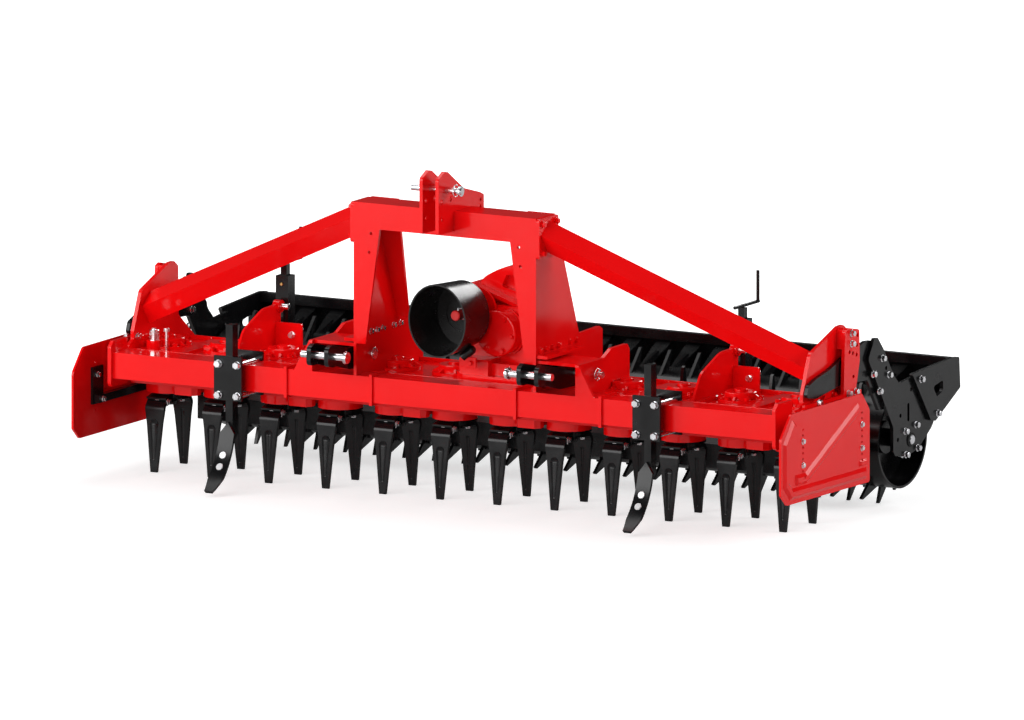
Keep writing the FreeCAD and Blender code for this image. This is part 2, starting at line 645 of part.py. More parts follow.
def roller_drum():
    """Open-ended drum with recessed end discs, hubs and rings of hooked teeth."""
    wall, disc = 9, 12
    tube = rod(DRUM_RADIUS, (-DRUM_HALF, 0, 0), (DRUM_HALF, 0, 0))
    tooth = hooked_tooth()
    teeth = []
    for i in range(RINGS):
        for k in range(TEETH):
            copy = tooth.copy()
            copy.rotate(V(0, 0, 0), V(1, 0, 0), 360.0 / TEETH * k)
            copy.translate(V(RING_X[i], 0, 0))
            teeth.append(copy)
    drum = tube.multiFuse(teeth)
    inner = DRUM_HALF - RECESS - disc
    hollow = rod(DRUM_RADIUS - wall, (-inner, 0, 0), (inner, 0, 0))
    mouths = [rod(DRUM_RADIUS - wall, (side * (DRUM_HALF - RECESS), 0, 0), (side * DRUM_HALF, 0, 0))
              for side in (-1, 1)]
    drum = drum.cut(Part.makeCompound([hollow] + mouths))
    face = DRUM_HALF - RECESS
    hubs = pair(rod(62, (face, 0, 0), (face + 22, 0, 0)))
    necks = pair(rod(34, (face, 0, 0), (SIDE_X[0] - 6, 0, 0)))
    sockets = pair(rod(AXLE_RADIUS + 0.02, (face, 0, 0), (SIDE_X[0], 0, 0)))
    drum = drum.multiFuse(hubs + necks).cut(Part.makeCompound(sockets))
    drum.translate(V(0, ROLLER_Y, ROLLER_Z))
    return [drum]


def roller_axle():
    """Stub axles in the hubs of the end discs."""
    face = DRUM_HALF - RECESS
    centre = (ROLLER_Y, ROLLER_Z)
    return pair(rod(AXLE_RADIUS, (face, *centre), (SIDE_X[1] + 6, *centre)))


# ---------------------------------------------------------------- export
def write(node, solids):
    shape = solids[0] if len(solids) == 1 else Part.makeCompound(solids)
    shape = shape.copy()
    shape.translate(V(0, ROW_Y, 0))
    shape.exportStep(os.path.join("parts", node + ".step"))


def main():
    os.makedirs("parts", exist_ok=True)
    nodes = {
        "front_beam": [front_beam()],
        "beam_end_plates": beam_end_plates(),
        "gear_trough": gear_trough(),
        "trough_cover": trough_cover(),
        "bearing_housings": bearing_housings(),
        "stone_guards": stone_guards(),
        "gearbox_housing": gearbox_housing(),
        "gearbox_cover": gearbox_cover(),
        "pto_guard": pto_guard(),
        "pto_shaft": pto_shaft(),
        "headstock_legs": pair(headstock_leg()),
        "headstock_crossbeam": headstock_crossbeam(),
        "top_link_bracket": top_link_bracket(),
        "top_link_pin": top_link_pin(),
        "braces": pair(brace()),
        "hitch_brackets": pair(hitch_bracket()),
        "lower_link_forks": pair(lower_link_forks()),
        "lower_link_pins": lower_link_pins(),
        "end_brackets": pair(end_bracket()),
        "depth_stop_bars": pair(depth_stop_bar()),
        "side_deflectors": pair(side_deflector()),
        "deflector_arms": deflector_arms(),
        "eradicator_clamps": [half for piece in eradicator_clamp() for half in pair(piece)],
        "eradicator_shanks": pair(eradicator_shank()),
        "eradicator_blades": eradicator_blades(),
        "levelling_bar": levelling_bar(),
        "levelling_posts": levelling_posts(),
        "sector_brackets": sector_brackets(),
        "roller_arms": pair(roller_arm()),
        "roller_side_plates": pair(roller_side_plate()),
        "scraper_end_plates": pair(scraper_end_plate()),
        "scraper_beam": scraper_beam(),
        "scrapers": scrapers(),
        "roller_drum": roller_drum(),
        "roller_axle": roller_axle(),
    }
    for i, x in enumerate(ROTOR_X):
        nodes["rotor_%02d_hub" % (i + 1)] = rotor_hub(x)
        nodes["rotor_%02d_tines" % (i + 1)] = tines(x)
    for node, solids in nodes.items():
        write(node, solids)


main()
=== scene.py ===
import bpy
import math
from mathutils import Matrix, Vector


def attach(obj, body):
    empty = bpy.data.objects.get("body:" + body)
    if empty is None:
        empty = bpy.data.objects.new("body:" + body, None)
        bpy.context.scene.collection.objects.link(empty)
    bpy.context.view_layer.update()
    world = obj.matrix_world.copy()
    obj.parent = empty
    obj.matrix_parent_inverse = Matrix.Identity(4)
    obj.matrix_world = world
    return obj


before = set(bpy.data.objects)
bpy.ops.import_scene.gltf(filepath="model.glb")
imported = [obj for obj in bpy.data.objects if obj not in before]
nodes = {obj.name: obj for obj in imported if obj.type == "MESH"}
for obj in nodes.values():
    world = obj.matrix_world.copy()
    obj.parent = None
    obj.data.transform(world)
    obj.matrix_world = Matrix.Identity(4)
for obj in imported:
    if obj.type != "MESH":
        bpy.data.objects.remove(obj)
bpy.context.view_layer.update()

bpy.ops.object.select_all(action="DESELECT")

# ------------------------------------------------------------------ studio
# A pale floor that runs on past the view, with soft boxes in front, at the
# left, overhead and behind. The machine stands on the floor as it is parked.
scene = bpy.context.scene
scene.view_settings.view_transform = "Standard"
WHITE = (1.0, 1.0, 1.0, 1)

world = bpy.data.worlds.new("studio")
scene.world = world
world.use_nodes = True
sky = world.node_tree.nodes
wires = world.node_tree.links
sky.clear()


def white_sky(strength):
    """A white background for one kind of ray."""
    background = sky.new("ShaderNodeBackground")
    background.inputs["Color"].default_value = WHITE
    background.inputs["Strength"].default_value = strength
    return background


sky_light = white_sky(0.15)
sky_seen = white_sky(1.0)
sky_mirrored = white_sky(0.05)
sky_rays = sky.new("ShaderNodeLightPath")
sky_dim = sky.new("ShaderNodeMixShader")
sky_mix = sky.new("ShaderNodeMixShader")
sky_out = sky.new("ShaderNodeOutputWorld")
wires.new(sky_rays.outputs["Is Glossy Ray"], sky_dim.inputs["Fac"])
wires.new(sky_light.outputs["Background"], sky_dim.inputs[1])
wires.new(sky_mirrored.outputs["Background"], sky_dim.inputs[2])
wires.new(sky_rays.outputs["Is Camera Ray"], sky_mix.inputs["Fac"])
wires.new(sky_dim.outputs["Shader"], sky_mix.inputs[1])
wires.new(sky_seen.outputs["Background"], sky_mix.inputs[2])
wires.new(sky_mix.outputs["Shader"], sky_out.inputs["Surface"])

# The floor's glow rises from the machine outwards until it is as white as the
# sky behind it, so that only the shadow round the machine shows.
GLOW_FROM, GLOW_TO = 1.6, 4.5           # distances from the middle
NEAR_GLOW, FAR_GLOW = 0.62, 1.0
bpy.ops.mesh.primitive_plane_add(size=60, location=(0, 0, 0))
floor = bpy.context.object
floor.name = "studio_floor"
floor_paint = bpy.data.materials.new("studio_floor")
floor_paint.use_nodes = True
shader = floor_paint.node_tree.nodes["Principled BSDF"]
shader.inputs["Base Color"].default_value = (0.60, 0.60, 0.60, 1)
shader.inputs["Roughness"].default_value = 0.9
shader.inputs["Specular IOR Level"].default_value = 0.1
shader.inputs["Emission Color"].default_value = WHITE
board = floor_paint.node_tree.nodes
strings = floor_paint.node_tree.links
spot = board.new("ShaderNodeTexCoord")
distance = board.new("ShaderNodeVectorMath")
distance.operation = "LENGTH"
fade = board.new("ShaderNodeMapRange")
fade.inputs["From Min"].default_value = GLOW_FROM
fade.inputs["From Max"].default_value = GLOW_TO
fade.inputs["To Min"].default_value = NEAR_GLOW
fade.inputs["To Max"].default_value = FAR_GLOW
seen = board.new("ShaderNodeLightPath")
either = board.new("ShaderNodeMath")
either.operation = "MAXIMUM"
glow = board.new("ShaderNodeMath")
glow.operation = "MULTIPLY"
strings.new(spot.outputs["Object"], distance.inputs[0])
strings.new(distance.outputs["Value"], fade.inputs["Value"])
strings.new(seen.outputs["Is Camera Ray"], either.inputs[0])
strings.new(seen.outputs["Is Transmission Ray"], either.inputs[1])
strings.new(fade.outputs["Result"], glow.inputs[0])
strings.new(either.outputs["Value"], glow.inputs[1])
strings.new(glow.outputs["Value"], shader.inputs["Emission Strength"])
floor.data.materials.append(floor_paint)


def lamp(name, width, height, place, target, power):
    """A soft box that looks at a point."""
    data = bpy.data.lights.new(name, "AREA")
    data.shape = "RECTANGLE"
    data.size = width
    data.size_y = height
    data.energy = power
    soft_box = bpy.data.objects.new(name, data)
    scene.collection.objects.link(soft_box)
    soft_box.location = place
    aim = Vector(target) - Vector(place)
    soft_box.rotation_euler = aim.to_track_quat("-Z", "Y").to_euler()


lamp("front_box", 14.0, 6.0, (-3.0, -9.0, 3.2), (0, 0, 0.5), 1110)
lamp("left_box", 5.2, 4.2, (7.8, 2.4, 4.2), (0, 0, 0.5), 390)
lamp("top_box", 5.0, 3.5, (-2.8, 0.6, 7.0), (0, 0, 0.3), 120)
lamp("rear_box", 4.6, 3.6, (0, 8.5, 4.4), (0, 0, 0.6), 330)

# The camera sees the machine from in front, from its left and from a little
# above, without perspective.
AZIMUTH = math.radians(29.7)
ELEVATION = math.radians(9.62)
VIEW_CENTRE = Vector((0.1247, -0.243, 0.5415))
VIEW_WIDTH = 3.890
CAMERA_AWAY = 14
towards = Vector((math.cos(ELEVATION) * math.sin(AZIMUTH),
                  -math.cos(ELEVATION) * math.cos(AZIMUTH),
                  math.sin(ELEVATION)))
camera_data = bpy.data.cameras.new("camera")
camera_data.type = "ORTHO"
camera_data.ortho_scale = VIEW_WIDTH
camera_data.clip_end = 100
camera = bpy.data.objects.new("camera", camera_data)
scene.collection.objects.link(camera)
camera.location = VIEW_CENTRE + towards * CAMERA_AWAY
camera.rotation_euler = (-towards).to_track_quat("-Z", "Y").to_euler()
scene.camera = camera

# ------------------------------------------------------------------ red enamel
# The welded frame is sprayed with a glossy red enamel. It is thick, a little
# uneven in colour and gloss, and has a slight orange peel.


def paint(name, color, shade, roughness, spread, peel):
    """Sprayed enamel: patchy colour, uneven gloss and an orange-peel bump."""
    material = bpy.data.materials.new(name)
    material.use_nodes = True
    tree = material.node_tree
    bsdf = tree.nodes["Principled BSDF"]
    bsdf.inputs["Specular IOR Level"].default_value = 0.35
    place = tree.nodes.new("ShaderNodeTexCoord")
    cloud = tree.nodes.new("ShaderNodeTexNoise")
    cloud.inputs["Scale"].default_value = 3.2
    cloud.inputs["Detail"].default_value = 6
    tone = tree.nodes.new("ShaderNodeMix")
    tone.data_type = "RGBA"
    tone.inputs["A"].default_value = (*shade, 1)
    tone.inputs["B"].default_value = (*color, 1)
    limits = tree.nodes.new("ShaderNodeMapRange")
    limits.inputs["From Min"].default_value = 0.35
    limits.inputs["From Max"].default_value = 0.6
    smear = tree.nodes.new("ShaderNodeTexNoise")
    smear.inputs["Scale"].default_value = 14
    smear.inputs["Detail"].default_value = 4
    gloss = tree.nodes.new("ShaderNodeMapRange")
    gloss.inputs["From Min"].default_value = 0.3
    gloss.inputs["From Max"].default_value = 0.7
    gloss.inputs["To Min"].default_value = roughness - spread
    gloss.inputs["To Max"].default_value = roughness + spread
    skin = tree.nodes.new("ShaderNodeTexNoise")
    skin.inputs["Scale"].default_value = 260
    skin.inputs["Detail"].default_value = 2
    bump = tree.nodes.new("ShaderNodeBump")
    bump.inputs["Strength"].default_value = peel
    bump.inputs["Distance"].default_value = 0.0006
    link = tree.links.new
    for noise in (cloud, smear, skin):
        link(place.outputs["Object"], noise.inputs["Vector"])
    link(cloud.outputs["Fac"], limits.inputs["Value"])
    link(limits.outputs["Result"], tone.inputs["Factor"])
    link(tone.outputs["Result"], bsdf.inputs["Base Color"])
    link(smear.outputs["Fac"], gloss.inputs["Value"])
    link(gloss.outputs["Result"], bsdf.inputs["Roughness"])
    link(skin.outputs["Fac"], bump.inputs["Height"])
    link(bump.outputs["Normal"], bsdf.inputs["Normal"])
    return material


def dress(material, *names):
    """Gives CAD nodes a finish in place of the plain one they came with."""
    for name in names:
        mesh = nodes[name].data
        mesh.materials.clear()
        mesh.materials.append(material)


red_enamel = paint("red_enamel", (0.84, 0.0035, 0.0045), (0.79, 0.003, 0.004), 0.13, 0.04, 0.10)
dress(red_enamel, "front_beam", "beam_end_plates", "gear_trough", "trough_cover",
      "bearing_housings", "stone_guards", "gearbox_housing", "gearbox_cover",
      "headstock_legs", "headstock_crossbeam", "top_link_bracket", "braces",
      "hitch_brackets", "end_brackets", "depth_stop_bars", "side_deflectors",
      "sector_brackets")

# ------------------------------------------------------------------ black paint
# The tools, their clamps and the whole roller are sprayed black, less glossy
# than the red frame and a little rougher where the steel was forged or rolled.
black_paint = paint("black_paint", (0.0045, 0.0045, 0.005), (0.0025, 0.0025, 0.003), 0.22, 0.06, 0.16)
dress(black_paint, "lower_link_forks", "deflector_arms", "eradicator_clamps",
      "eradicator_shanks", "eradicator_blades", "levelling_bar", "levelling_posts",
      "roller_arms", "roller_side_plates", "scraper_end_plates", "scraper_beam",
      "scrapers", "roller_drum")
ROTORS = ["rotor_%02d" % (number + 1) for number in range(12)]
for rotor in ROTORS:
    dress(black_paint, rotor + "_hub", rotor + "_tines")

# ------------------------------------------------------------------ guard
# The guard round the input shaft is one moulding of black plastic, a little
# lighter than the paint and glossy from the mould.
guard_plastic = paint("guard_plastic", (0.010, 0.009, 0.009), (0.007, 0.006, 0.006), 0.24, 0.05, 0.10)
dress(guard_plastic, "pto_guard")

# ------------------------------------------------------------------ plated steel
# Pins and bolts are zinc plated: bright, slightly streaky and a bit uneven.
# The input stub and the roller's axle are turned and left bare.
BARE_PEEL = 0.12


def bare_metal(name, color, shade, roughness, spread):
    """Metal with no paint on it, as uneven as the enamel."""
    material = paint(name, color, shade, roughness, spread, BARE_PEEL)
    material.node_tree.nodes["Principled BSDF"].inputs["Metallic"].default_value = 1.0
    return material


zinc_plate = bare_metal("zinc_plate", (0.86, 0.86, 0.88), (0.74, 0.74, 0.77), 0.24, 0.08)
machined_steel = bare_metal("machined_steel", (0.58, 0.58, 0.60), (0.46, 0.46, 0.48), 0.3, 0.1)
dress(zinc_plate, "top_link_pin", "lower_link_pins")
dress(machined_steel, "pto_shaft", "roller_axle")

# ------------------------------------------------------------------ hexagon bolts
# The plates are held by zinc-plated hexagon bolts: forged heads with a
# chamfered rim, each on a stamped washer. One is shaped, the rest are copied.
ROW = -0.243                            # the rotor row, in the shared frame
UP, DOWN, FORWARD, BACK = (0, 0, 1), (0, 0, -1), (0, -1, 0), (0, 1, 0)
LEFT = (1, 0, 0)
SIDES = ((1, "left"), (-1, "right"))


def at(x, y, z):
    """A point given from the rotor row, in the shared frame."""
    return Vector((x, ROW + y, z))


def chosen(thing, wanted, mode="FACE"):
    """Leaves only the wanted faces (or vertices) of a piece selected, in edit mode."""
    bpy.context.view_layer.objects.active = thing
    bpy.ops.object.mode_set(mode="EDIT")
    bpy.ops.mesh.select_mode(type=mode)
    bpy.ops.mesh.select_all(action="DESELECT")
    bpy.ops.object.mode_set(mode="OBJECT")
    for part in (thing.data.polygons if mode == "FACE" else thing.data.vertices):
        part.select = wanted(part)
    bpy.ops.object.mode_set(mode="EDIT")


def joined(things, name, material):
    """Joins pieces into one mesh with its origin at the scene's origin."""
    bpy.ops.object.select_all(action="DESELECT")
    for thing in things:
        thing.select_set(True)
    bpy.context.view_layer.objects.active = things[0]
    if len(things) > 1:
        bpy.ops.object.join()
    whole = bpy.context.object
    bpy.ops.object.transform_apply(location=True, rotation=True, scale=True)
    whole.name = name
    whole.data.name = name
    whole.data.materials.clear()
    whole.data.materials.append(material)
    return whole


def turned_rim(radius, depth, middle, vertices, rim):
    """An upright disc whose upper edge is bevelled."""
    bpy.ops.mesh.primitive_cylinder_add(vertices=vertices, radius=radius, depth=depth,
                                        location=(0, 0, middle))
    disc = bpy.context.object
    chosen(disc, lambda face: face.normal.z > 0.9)
    bpy.ops.mesh.bevel(offset=rim, segments=1)
    bpy.ops.object.mode_set(mode="OBJECT")
    return disc


def hex_bolt(across, height, washer, thick):
    """A hexagon head on its washer, standing at the origin; it is then copied."""
    plate = turned_rim(washer, thick, thick / 2, 16, thick * 0.3)
    head = turned_rim(across / math.sqrt(3), height, thick + height / 2, 6, across * 0.07)
    return joined([plate, head], "bolt_pattern", zinc_plate)


def spread(pattern, places, facing, name, material, body, slot):
    """Copies a pattern to each place, facing one way, as one piece on a body."""
    copies = []
    for index, place in enumerate(places):
        copy = pattern.copy()
        copy.data = pattern.data.copy()
        scene.collection.objects.link(copy)
        spin = Matrix.Rotation(0.7 * index, 4, "Z")
        aim = Vector(UP).rotation_difference(Vector(facing)).to_matrix().to_4x4()
        copy.matrix_world = Matrix.Translation(at(*place)) @ aim @ spin
        copies.append(copy)
    bpy.context.view_layer.update()
    whole = joined(copies, name, material)
    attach(whole, body)
    return whole


def plated(pattern, places, facing, name, body="frame"):
    """Spreads zinc-plated pieces."""
    return spread(pattern, places, facing, name, zinc_plate, body, "zinc_plate")


def painted(pattern, places, facing, name):
    """Spreads pieces that were sprayed red with the frame."""
    return spread(pattern, places, facing, name, red_enamel, "frame", "red_paint")


def both(places):
    """Places on the left and the same ones on the right."""
    return places + [(-x, y, z) for x, y, z in places]


big_bolt = hex_bolt(0.0205, 0.013, 0.0142, 0.0025)
small_bolt = hex_bolt(0.017, 0.010, 0.012, 0.002)
low_bolt = hex_bolt(0.017, 0.0066, 0.012, 0.0018)

# Each plate's face is given by its distance from the middle of the machine.
SIDE_OUT, SIDE_IN = 1.5045, 1.4905
ARM_IN = 1.476
SCRAPER_PLATE_OUT = 1.5195
BAR_OUT = 1.510
DEFLECTOR_OUT, DEFLECTOR_ARM_IN = 1.552, ((1.533, 0.3868), (1.509, 0.2956))
arm_bolts = [(0.420, 0.602), (0.348, 0.551)]
lower_bolts = [(0.470, 0.532), (0.395, 0.479)]
bearing_bolts = [(0.5945, 0.2955), (0.6774, 0.3088), (0.6896, 0.218), (0.5999, 0.2047)]
scraper_bolts = [(0.690, 0.483), (0.8186, 0.3333)]
bracket_bolts = [(0.175, 0.735), (0.175, 0.695), (-0.075, 0.503), (0.150, 0.506), (0.203, 0.506)]
DEFLECTOR_BOLT_Y = (-0.271, 0.181)
for side, label in SIDES:
    outwards, inwards = (side, 0, 0), (-side, 0, 0)
    plated(big_bolt, [(side * SIDE_OUT, y, z) for y, z in arm_bolts + lower_bolts + bearing_bolts],
           outwards, "side_plate_bolts_" + label, "roller_frame")
    plated(big_bolt, [(side * SIDE_IN, y, z) for y, z in bearing_bolts],
           inwards, "bearing_nuts_" + label, "roller_frame")
    plated(big_bolt, [(side * ARM_IN, y, z) for y, z in arm_bolts],
           inwards, "arm_nuts_" + label, "roller_frame")
    plated(big_bolt, [(side * SCRAPER_PLATE_OUT, y, z) for y, z in scraper_bolts],
           outwards, "end_plate_bolts_" + label, "roller_frame")
    plated(big_bolt, [(side * BAR_OUT, y, z) for y, z in bracket_bolts],
           outwards, "end_bracket_bolts_" + label)
    plated(low_bolt, [(side * DEFLECTOR_OUT, y, z) for y in DEFLECTOR_BOLT_Y
                      for x, z in DEFLECTOR_ARM_IN],
           outwards, "deflector_bolts_" + label)
    plated(small_bolt, [(side * x, y, z) for y in DEFLECTOR_BOLT_Y for x, z in DEFLECTOR_ARM_IN],
           inwards, "deflector_nuts_" + label)

# ------------------------------------------------------------------ clamp rods
# Four zinc-plated rods pull each clamp's front plate and rear straps together
# round the beam; they have a head in front and a nut behind.
CLAMP_X = 0.9135
HEAD_FACE, ROD_FROM, ROD_TO, NUT_FACE = -0.358, -0.346, -0.195, -0.185
rod_places = [(side * CLAMP_X + dx, z) for side, label in SIDES for dx in (-0.041, 0.041)
              for z in (0.490, 0.370)]
clamp_bolt = hex_bolt(0.026, 0.014, 0.0155, 0.003)
plated(clamp_bolt, [(x, HEAD_FACE, z) for x, z in rod_places], FORWARD, "clamp_heads")
plated(small_bolt, [(x, NUT_FACE, z) for x, z in rod_places], BACK, "clamp_nuts")
rods = []
for x, z in rod_places:
    middle = (at(x, ROD_FROM, z) + at(x, ROD_TO, z)) / 2
    bpy.ops.mesh.primitive_cylinder_add(vertices=18, radius=0.0095, depth=ROD_TO - ROD_FROM,
                                        location=middle, rotation=(math.pi / 2, 0, 0))
    rods.append(bpy.context.object)
clamp_rods = joined(rods, "clamp_rods", zinc_plate)
chosen(clamp_rods, lambda face: abs(face.normal.y) > 0.9)
bpy.ops.mesh.inset(thickness=0.001)
bpy.ops.object.mode_set(mode="OBJECT")
bpy.ops.object.shade_smooth_by_angle(angle=math.radians(35))
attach(clamp_rods, "frame")

# ------------------------------------------------------------------ blade bolts
# Each eradicator blade is held on its shank by two large countersunk bolts,
# zinc plated over a blasted face, so that they shine evenly.
BLADE_X = 0.915
satin_zinc = bare_metal("satin_zinc", (0.90, 0.90, 0.91), (0.82, 0.82, 0.84), 0.50, 0.06)
button = joined([turned_rim(0.0145, 0.004, 0.002, 20, 0.0015)], "button_pattern", satin_zinc)
for side, label in SIDES:
    spread(button, [(side * BLADE_X, -0.3930, 0.145)], (0, -0.887, 0.463),
           "blade_bolt_upper_" + label, satin_zinc, "frame", "zinc_plate")
    spread(button, [(side * BLADE_X, -0.4186, 0.104)], (0, -0.805, 0.593),
           "blade_bolt_lower_" + label, satin_zinc, "frame", "zinc_plate")

# ------------------------------------------------------------------ red bolts
# Bolts that were on the machine when it was sprayed are red: round the bearing
# caps, along the lid's edges and at the corners of the brace plates. The legs'
# feet have plated heads inside and red nuts outside.
red_bolt = hex_bolt(0.019, 0.013, 0.014, 0.003)
rotor_x = [0.25 * (number - 5.5) for number in range(12)]
LID_TOP = 0.470
CAP_FLANGE_TOP = LID_TOP + 0.010
CAP_BOLT_RING = 0.078
cap_bolts = [(x + CAP_BOLT_RING * math.cos(turn), CAP_BOLT_RING * math.sin(turn), CAP_FLANGE_TOP)
             for x in rotor_x if abs(x) > 0.7 for turn in (0.3, 1.35, 2.4, 3.44, 4.49, 5.54)]
painted(small_bolt, cap_bolts, UP, "bearing_cap_bolts")
edge_x = [-1.40 + 0.1 * step for step in range(29)]
edge_bolts = [(x, y, LID_TOP) for x in edge_x for y in (-0.180, 0.180)
              if abs(x) > 0.62 and abs(abs(x) - 1.0) > 0.04]
painted(small_bolt, edge_bolts, UP, "lid_edge_bolts")
LEG_IN, LEG_OUT, LEG_PLATE_OUT = 0.3865, 0.3985, 0.4135
for side, label in SIDES:
    outwards, inwards = (side, 0, 0), (-side, 0, 0)
    painted(red_bolt, [(side * LEG_PLATE_OUT, y, z) for y in (-0.275, -0.172) for z in (1.016, 1.128)],
            outwards, "brace_plate_bolts_" + label)
    painted(small_bolt, [(side * LEG_OUT, y, 0.640)
                         for y in (-0.268, -0.222, -0.173, -0.126, -0.036, 0.012)],
            outwards, "leg_foot_nuts_" + label)
    plated(small_bolt, [(side * LEG_IN, y, 0.637) for y in (-0.187, -0.142, -0.097, -0.014, 0.037)],
           inwards, "leg_foot_bolts_" + label)

# ------------------------------------------------------------------ gearbox bolts
# Six bolts stand round the lower shaft's cap and four on each side of the
# casting's foot. All are sprayed over with the casting.
GEAR_X, GEAR_Z, GEAR_CAP_RING = 0.125, 0.661, 0.071
GEAR_CAP_FACE = -0.128
cap_turns = [math.radians(degrees) for degrees in (-4, 56, 116, 176, 236, 296)]
painted(small_bolt, [(GEAR_X + GEAR_CAP_RING * math.cos(turn), GEAR_CAP_FACE,
                      GEAR_Z + GEAR_CAP_RING * math.sin(turn)) for turn in cap_turns],
        FORWARD, "gearbox_cap_bolts")
painted(small_bolt, [(GEAR_X + side * 0.17, y, 0.500) for side, label in SIDES
                     for y in (-0.07, 0.0, 0.07, 0.13)], UP, "gearbox_base_bolts")

# ------------------------------------------------------------------ shaft cap
# A red plastic cap keeps the splines of the input stub clean until it is used;
# a plated stud on its top holds it on.
STUB_Z = 0.733
stub_cap = turned_rim(0.0197, 0.052, 0.026, 32, 0.003)
chosen(stub_cap, lambda face: face.normal.z < -0.9)
bpy.ops.mesh.inset(thickness=0.0019)
bpy.ops.mesh.extrude_region_move(TRANSFORM_OT_translate={"value": (0, 0, 0.048)})
bpy.ops.object.mode_set(mode="OBJECT")
cap_plastic = paint("cap_plastic", (0.62, 0.016, 0.016), (0.55, 0.012, 0.012), 0.35, 0.05, 0.05)
stub_cap = joined([stub_cap], "stub_cap_pattern", cap_plastic)
spread(stub_cap, [(0, -0.1665, STUB_Z)], FORWARD, "stub_cap", cap_plastic, "pto", "black_plastic")
stud = joined([turned_rim(0.006, 0.010, 0.005, 16, 0.0015)], "stud_pattern", zinc_plate)
plated(stud, [(0, -0.193, STUB_Z + 0.018)], UP, "stub_cap_stud", "pto")

# ------------------------------------------------------------------ filler cap
# The trough is filled with oil through a boss with a zinc-plated screw cap.
# The cap is turned, with a lower grip on its top.
filler = turned_rim(0.019, 0.040, 0.020, 24, 0.003)
chosen(filler, lambda face: face.normal.z > 0.9)
bpy.ops.mesh.inset(thickness=0.006)
bpy.ops.mesh.extrude_region_move(TRANSFORM_OT_translate={"value": (0, 0, 0.006)})
bpy.ops.object.mode_set(mode="OBJECT")
filler = joined([filler], "filler_pattern", zinc_plate)
plated(filler, [(-1.392, -0.085, 0.505)], UP, "filler_cap")

# ------------------------------------------------------------------ lynch pins
# Each link pin is kept by a lynch pin: a short peg through its end, with a
# sprung wire ring folded over. The rings hang beside the plates.
bpy.ops.mesh.primitive_torus_add(major_radius=0.0225, minor_radius=0.0022, major_segments=28,
                                 minor_segments=8, location=(0, 0, 0))
wire_ring = bpy.context.object
bpy.ops.mesh.primitive_cylinder_add(vertices=12, radius=0.0045, depth=0.050, location=(0, 0, 0),
                                    rotation=(math.pi / 2, 0, 0))
peg = bpy.context.object
chosen(peg, lambda face: abs(face.normal.z) > 0.9)
bpy.ops.mesh.bevel(offset=0.0015, segments=1)
bpy.ops.object.mode_set(mode="OBJECT")
lynch_pin = joined([wire_ring, peg], "lynch_pin_pattern", zinc_plate)
bpy.ops.object.shade_smooth_by_angle(angle=math.radians(50))
for side, label in SIDES:
    plated(lynch_pin, [(side * 0.357, -0.432, 0.573)], LEFT, "lynch_ring_" + label)
plated(lynch_pin, [(-0.372, -0.185, 0.553), (0.604, -0.185, 0.553)], LEFT, "hitch_pin_rings")
plated(lynch_pin, [(0.083, -0.357, 1.242)], LEFT, "top_link_ring")

# ------------------------------------------------------------------ tine bolts
# Each tine is held under its carrier by two bolts put in from below, a lock
# bolt at its end and a cross bolt in its bend, which stop it swinging.
for rotor, x in zip(ROTORS, rotor_x):
    plated(small_bolt, [(x + dx, y, 0.262) for dx in (-0.022, 0.022) for y in (-0.062, 0.062)],
           DOWN, rotor + "_bolts", rotor)
    plated(small_bolt, [(x, 0.0915, 0.2665)], (0, -1, 0.1), rotor + "_rear_lock", rotor)
    plated(small_bolt, [(x, -0.0915, 0.2665)], (0, 1, 0.1), rotor + "_front_lock", rotor)
    plated(small_bolt, [(x + 0.041, -0.080, 0.270)], LEFT, rotor + "_front_cross", rotor)
    plated(small_bolt, [(x - 0.041, 0.080, 0.270)], (-1, 0, 0), rotor + "_rear_cross", rotor)

# ------------------------------------------------------------------ sector pins
# A zinc-plated pin through each sector's boss and a bolt through its cross
# plate carry the levelling bar's arms; another bolt holds its foot on the lid.
plated(big_bolt, [(1.077, 0.150, 0.528), (-0.923, 0.150, 0.528)], FORWARD, "sector_bolts")
plated(big_bolt, [(1.103, 0.160, 0.550), (-0.897, 0.160, 0.550)], BACK, "sector_nuts")
plated(big_bolt, [(-0.968, 0.0, LID_TOP), (1.028, 0.0, LID_TOP)], UP, "sector_foot_bolts")
sector_pin = joined([turned_rim(0.012, 0.034, 0.017, 20, 0.002)], "pin_pattern", zinc_plate)
plated(sector_pin, [(-0.986, 0.180, 0.629), (1.014, 0.180, 0.629)], LEFT, "sector_pins")

# ------------------------------------------------------------------ post screws
# A brass set screw near the top of each levelling post's sleeve takes up play.
# It has a low turned head.
brass = bare_metal("brass", (0.80, 0.55, 0.20), (0.70, 0.46, 0.15), 0.28, 0.06)
screw = joined([turned_rim(0.006, 0.005, 0.0025, 16, 0.0012)], "screw_pattern", brass)
spread(screw, both([(1.0, 0.207, 0.709)]), FORWARD, "post_screws", brass, "frame", "zinc_plate")

# ------------------------------------------------------------------ bearing caps
# Over each outer rotor's bearing the lid carries a cast cap: a bolted flange,
# a turned dome with a recessed plug, and eight ribs from the dome to the flange.
bpy.ops.mesh.primitive_cylinder_add(vertices=40, radius=0.088, depth=0.010, location=(0, 0, 0.005))
cap = bpy.context.object
chosen(cap, lambda face: face.normal.z > 0.9)
bpy.ops.mesh.inset(thickness=0.026)
bpy.ops.mesh.extrude_region_move(TRANSFORM_OT_translate={"value": (0, 0, 0.024)})
bpy.ops.mesh.inset(thickness=0.004)
bpy.ops.transform.translate(value=(0, 0, 0.003))
bpy.ops.mesh.inset(thickness=0.028)
bpy.ops.mesh.extrude_region_move(TRANSFORM_OT_translate={"value": (0, 0, -0.005)})
bpy.ops.mesh.inset(thickness=0.006)
bpy.ops.mesh.extrude_region_move(TRANSFORM_OT_translate={"value": (0, 0, 0.012)})
bpy.ops.mesh.inset(thickness=0.002)
bpy.ops.transform.translate(value=(0, 0, 0.002))
